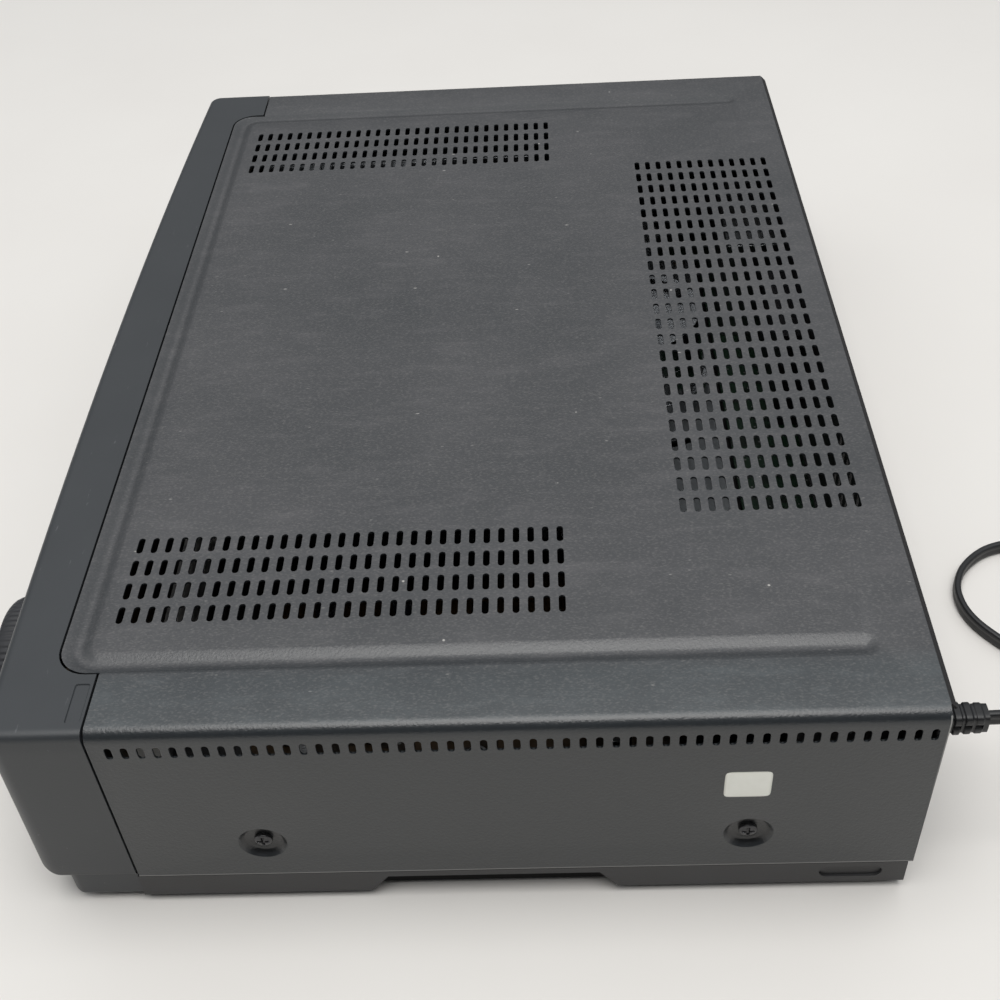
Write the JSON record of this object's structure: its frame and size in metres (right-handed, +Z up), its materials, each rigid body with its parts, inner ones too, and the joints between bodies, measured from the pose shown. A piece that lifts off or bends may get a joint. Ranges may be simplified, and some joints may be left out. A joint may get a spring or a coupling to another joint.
{
  "type": "video cassette recorder",
  "caption": "Front-loading home video cassette recorder with vented steel cover, cassette door, shuttle dial, tape deck inside and a coiled mains lead.",
  "frame": {"origin": "centre of the bounding box at the table, without the free lead", "axes": "+X to the right seen from the front, +Y to the rear, +Z up"},
  "size_m": [0.4301, 0.5231, 0.093],
  "materials": {
    "painted_steel": "dark grey baked paint with a fine satin texture",
    "frame_plastic": "moulded, lightly sparked",
    "front_plastic": "moulded, fine satin grain",
    "button_plastic": "moulded, half gloss",
    "record_plastic": "moulded, half gloss",
    "dial_plastic": "moulded with a knurled rim",
    "smoked_acrylic": "polished, see-through smoke tint",
    "tube_glass": "clear with a dark filter",
    "foot_rubber": "matt",
    "plated_sheet": "zinc plated, dull",
    "rear_sheet": "black satin paint",
    "black_screws": "black oxide",
    "yellow_zinc": "yellow zinc plated",
    "bright_nickel": "nickel plated",
    "socket_plastic": "moulded, half gloss",
    "label_film": "blank printed film",
    "drum_aluminium": "turned, polished",
    "head_metal": "lapped",
    "guide_steel": "polished",
    "motor_can": "zinc plated",
    "motor_board": "laminate",
    "green_laminate": "solder mask over fibre laminate",
    "brown_laminate": "paper laminate",
    "capacitor_sleeve": "shrink sleeve",
    "transformer_core": "ferrite with taped winding",
    "fin_aluminium": "extruded",
    "tinned_steel": "tinned",
    "spring_steel": "drawn wire",
    "flywheel_brass": "turned",
    "roller_rubber": "ground",
    "white_acetal": "moulded",
    "yellow_acetal": "moulded",
    "cord_vinyl": "soft vinyl, slight sheen"
  },
  "bodies": {
    "chassis": {"main_frame": "frame_plastic", "bottom_plate": "plated_sheet", "feet": "foot_rubber", "top_cover": "painted_steel", "cover_screws": "black_screws", "front_panel": "front_plastic", "display_window": "smoked_acrylic", "display_tube": "tube_glass", "front_board": "brown_laminate", "rear_panel": "rear_sheet", "rf_jacks": "bright_nickel", "av_jacks": "socket_plastic", "side_label": "label_film", "deck_plate": "plated_sheet", "deck_screws": "yellow_zinc", "lower_drum": "drum_aluminium", "erase_head": "head_metal", "control_head": "head_metal", "cassette_brackets": "plated_sheet", "loading_motor": "motor_can", "capstan_stator": "motor_board", "main_board": "green_laminate", "power_board": "brown_laminate", "capacitors": "capacitor_sleeve", "transformer": "transformer_core", "heat_sink": "fin_aluminium", "tuner_can": "tinned_steel", "door_spring": "spring_steel", "strain_relief": "cord_vinyl", "power_cord": "cord_vinyl", "cord_coil": "cord_vinyl", "cord_tie": "cord_vinyl", "power_plug": "cord_vinyl"},
    "cassette_door": {"cassette_door": "front_plastic"},
    "carriage_slide": {"carriage_slide": "plated_sheet"},
    "cassette_holder": {"cassette_holder": "plated_sheet"},
    "power_button": {"power_button": "button_plastic"},
    "eject_button": {"eject_button": "button_plastic"},
    "rewind_button": {"rewind_button": "button_plastic"},
    "play_button": {"play_button": "button_plastic"},
    "forward_button": {"forward_button": "button_plastic"},
    "stop_button": {"stop_button": "button_plastic"},
    "pause_button": {"pause_button": "button_plastic"},
    "record_button": {"record_button": "record_plastic"},
    "shuttle_ring": {"shuttle_ring": "dial_plastic"},
    "jog_dial": {"jog_dial": "button_plastic"},
    "jack_flap": {"jack_flap": "front_plastic"},
    "upper_drum": {"upper_drum": "drum_aluminium"},
    "capstan_rotor": {"capstan_rotor": "flywheel_brass"},
    "pinch_arm": {"pinch_arm": "plated_sheet"},
    "pinch_roller": {"pinch_roller": "roller_rubber"},
    "supply_reel": {"supply_reel": "white_acetal"},
    "takeup_reel": {"takeup_reel": "white_acetal"},
    "idler_arm": {"idler_arm": "yellow_acetal"},
    "idler_wheel": {"idler_wheel": "white_acetal"},
    "tension_arm": {"tension_arm": "plated_sheet"},
    "supply_guide": {"supply_guide": "guide_steel"},
    "takeup_guide": {"takeup_guide": "guide_steel"},
    "cam_gear": {"cam_gear": "white_acetal"},
    "motor_pinion": {"motor_pinion": "white_acetal"}
  },
  "joints": [
    {"name": "door_hinge", "type": "hinge", "parent": "chassis", "child": "cassette_door", "pos_m": [-0.045, -0.1423, 0.0849], "axis": [1, 0, 0], "range_deg": [0, 80], "stiffness_Nm_per_rad": 0.01, "springref_deg": -20.05},
    {"name": "slide_in", "type": "slide", "parent": "chassis", "child": "carriage_slide", "axis": [0, 1, 0], "range_m": [0, 0.03]},
    {"name": "holder_drop", "type": "slide", "parent": "carriage_slide", "child": "cassette_holder", "axis": [0, 0, -1], "range_m": [0, 0.024]},
    {"name": "power_press", "type": "slide", "parent": "chassis", "child": "power_button", "axis": [0, 1, 0], "range_m": [0, 0.0006], "stiffness_N_per_m": 400, "springref_m": -0.001},
    {"name": "eject_press", "type": "slide", "parent": "chassis", "child": "eject_button", "axis": [0, 1, 0], "range_m": [0, 0.0006], "stiffness_N_per_m": 400, "springref_m": -0.001},
    {"name": "rewind_press", "type": "slide", "parent": "chassis", "child": "rewind_button", "axis": [0, 1, 0], "range_m": [0, 0.0006], "stiffness_N_per_m": 400, "springref_m": -0.001},
    {"name": "play_press", "type": "slide", "parent": "chassis", "child": "play_button", "axis": [0, 1, 0], "range_m": [0, 0.0006], "stiffness_N_per_m": 400, "springref_m": -0.001},
    {"name": "forward_press", "type": "slide", "parent": "chassis", "child": "forward_button", "axis": [0, 1, 0], "range_m": [0, 0.0006], "stiffness_N_per_m": 400, "springref_m": -0.001},
    {"name": "stop_press", "type": "slide", "parent": "chassis", "child": "stop_button", "axis": [0, 1, 0], "range_m": [0, 0.0006], "stiffness_N_per_m": 400, "springref_m": -0.001},
    {"name": "pause_press", "type": "slide", "parent": "chassis", "child": "pause_button", "axis": [0, 1, 0], "range_m": [0, 0.0006], "stiffness_N_per_m": 400, "springref_m": -0.001},
    {"name": "record_press", "type": "slide", "parent": "chassis", "child": "record_button", "axis": [0, 1, 0], "range_m": [0, 0.0006], "stiffness_N_per_m": 400, "springref_m": -0.001},
    {"name": "shuttle_turn", "type": "hinge", "parent": "chassis", "child": "shuttle_ring", "pos_m": [0.145, -0.155, 0.044], "axis": [0, 1, 0], "range_deg": [-65, 65], "stiffness_Nm_per_rad": 0.02},
    {"name": "jog_spin", "type": "hinge", "parent": "chassis", "child": "jog_dial", "pos_m": [0.145, -0.155, 0.044], "axis": [0, 1, 0], "continuous": true},
    {"name": "flap_hinge", "type": "hinge", "parent": "chassis", "child": "jack_flap", "pos_m": [-0.172, -0.14238, 0.0241], "axis": [1, 0, 0], "range_deg": [0, 90]},
    {"name": "drum_spin", "type": "hinge", "parent": "chassis", "child": "upper_drum", "pos_m": [-0.045, 0.076, 0.0276], "axis": [0, -0.0872, 0.9962], "continuous": true},
    {"name": "capstan_spin", "type": "hinge", "parent": "chassis", "child": "capstan_rotor", "pos_m": [0.017, 0.046, 0.02], "axis": [0, 0, 1], "continuous": true},
    {"name": "pinch_swing", "type": "hinge", "parent": "chassis", "child": "pinch_arm", "pos_m": [0.04, 0.049, 0.025], "axis": [0, 0, -1], "range_deg": [0, 39], "stiffness_Nm_per_rad": 0.02},
    {"name": "pinch_roller_spin", "type": "hinge", "parent": "pinch_arm", "child": "pinch_roller", "pos_m": [0.03, 0.027, 0.035], "axis": [0, 0, 1], "continuous": true},
    {"name": "supply_spin", "type": "hinge", "parent": "chassis", "child": "supply_reel", "pos_m": [-0.091, -0.03, 0.025], "axis": [0, 0, 1], "continuous": true},
    {"name": "takeup_spin", "type": "hinge", "parent": "chassis", "child": "takeup_reel", "pos_m": [0.001, -0.03, 0.025], "axis": [0, 0, 1], "continuous": true},
    {"name": "idler_swing", "type": "hinge", "parent": "chassis", "child": "idler_arm", "pos_m": [-0.045, -0.056, 0.025], "axis": [0, 0, 1], "range_deg": [-7, 7]},
    {"name": "idler_wheel_spin", "type": "hinge", "parent": "idler_arm", "child": "idler_wheel", "pos_m": [-0.045, -0.03, 0.024], "axis": [0, 0, 1], "continuous": true},
    {"name": "tension_swing", "type": "hinge", "parent": "chassis", "child": "tension_arm", "pos_m": [-0.121, 0.024, 0.025], "axis": [0, 0, 1], "range_deg": [-12, 8], "stiffness_Nm_per_rad": 0.01},
    {"name": "supply_load", "type": "hinge", "parent": "chassis", "child": "supply_guide", "pos_m": [-0.045, 0.076, 0.022], "axis": [0, 0, -1], "range_deg": [0, 85]},
    {"name": "takeup_load", "type": "hinge", "parent": "chassis", "child": "takeup_guide", "pos_m": [-0.045, 0.076, 0.022], "axis": [0, 0, 1], "range_deg": [0, 85]},
    {"name": "cam_turn", "type": "hinge", "parent": "chassis", "child": "cam_gear", "pos_m": [-0.131, 0.06, 0.014], "axis": [0, 0, 1], "range_deg": [0, 300]},
    {"name": "pinion_spin", "type": "hinge", "parent": "chassis", "child": "motor_pinion", "pos_m": [-0.131, 0.082, 0.014], "axis": [0, 0, 1], "range_deg": [-800, 0]}
  ],
  "couplings": [
    {"joint": "takeup_load", "follows": "supply_load", "ratio": 1},
    {"joint": "pinion_spin", "follows": "cam_turn", "ratio": -2.6667}
  ]
}
